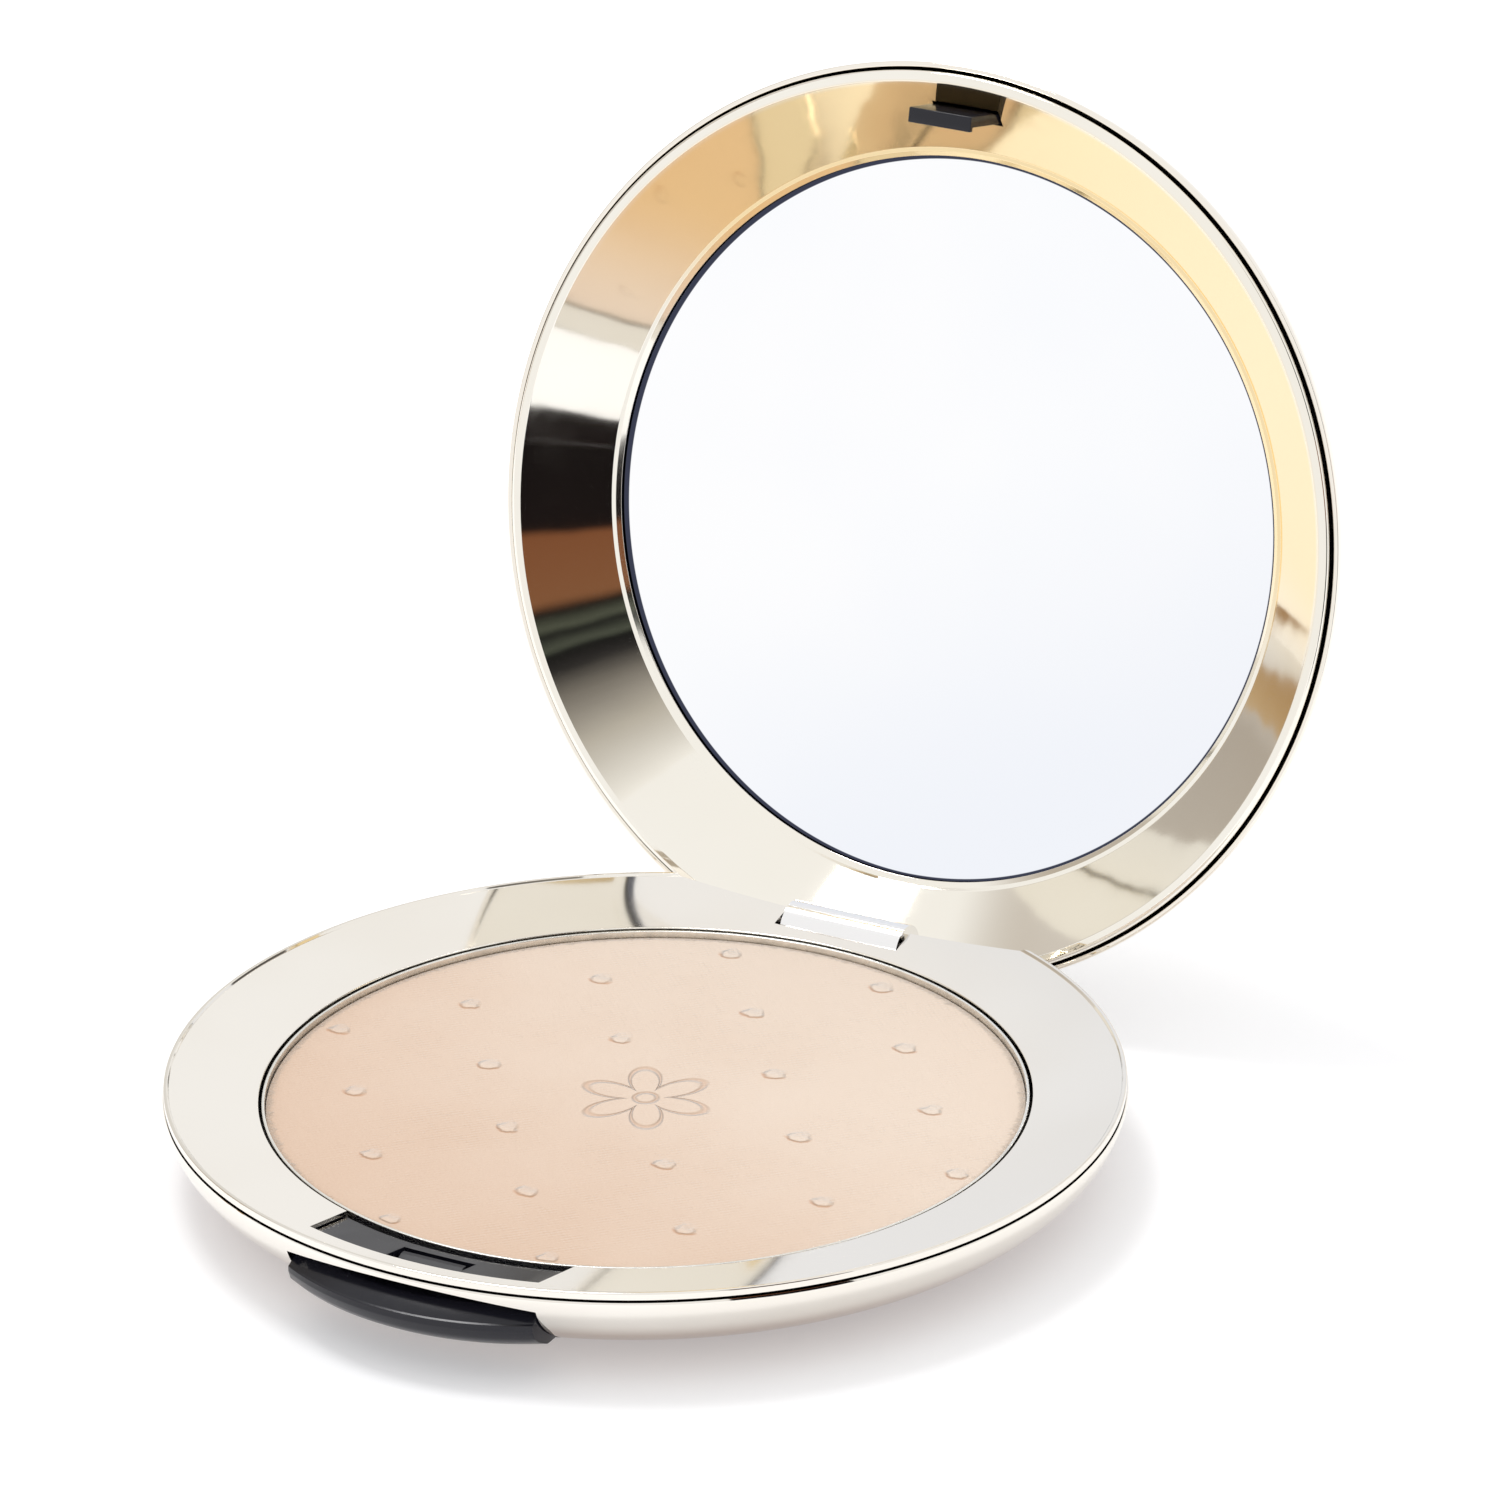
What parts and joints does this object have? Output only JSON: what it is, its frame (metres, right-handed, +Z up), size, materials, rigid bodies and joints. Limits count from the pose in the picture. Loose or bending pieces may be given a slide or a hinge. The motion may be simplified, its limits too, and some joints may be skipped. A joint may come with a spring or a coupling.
{
  "type": "powder compact",
  "caption": "Round powder compact standing open: a shallow metallic base with a pressed powder pan, a front push button and a hinged mirror lid",
  "frame": {"origin": "centre of the foot on the base's underside, on the round base's own axis", "axes": "+Z up out of the pan, -Y to the front with the push button, +Y to the hinge, X along the hinge"},
  "size_m": [0.0794, 0.1048, 0.0784],
  "materials": {
    "gold_chrome": "vacuum metallised pale gold, mirror polished",
    "lid_gold_chrome": "vacuum metallised silvery gold, mirror polished",
    "black_gloss": "black, glossy",
    "black_satin": "black, satin",
    "pan_aluminium": "stamped, bright",
    "pressed_powder": "pressed cosmetic powder, peach, matte, finely embossed",
    "white_tape": "double-sided tape, white",
    "label_paper": "blank coated label",
    "steel": "drawn wire, plain",
    "mirror_glass": "silvered glass"
  },
  "bodies": {
    "base": {"base_shell": "gold_chrome", "base_ring": "gold_chrome", "base_chassis": "black_gloss", "powder_pan": "pan_aluminium", "powder_cake": "pressed_powder", "pan_adhesive": "white_tape", "bottom_label": "label_paper", "hinge_pin": "steel", "button_spring_left": "steel", "button_spring_right": "steel"},
    "button": {"push_button": "black_gloss", "latch_slide": "black_satin"},
    "lid": {"lid_shell": "lid_gold_chrome", "lid_liner": "black_satin", "lid_frame": "lid_gold_chrome", "lid_hook": "black_gloss", "mirror": "mirror_glass", "mirror_pad": "white_tape"}
  },
  "joints": [
    {"name": "lid_hinge", "type": "hinge", "parent": "base", "child": "lid", "pos_m": [0, 0.0355, 0.00623], "axis": [1, 0, 0], "range_deg": [0, 103.9]},
    {"name": "button_press", "type": "slide", "parent": "base", "child": "button", "axis": [0, 1, 0], "range_m": [0, 0.0007], "stiffness_N_per_m": 1200, "springref_m": -0.0005}
  ]
}
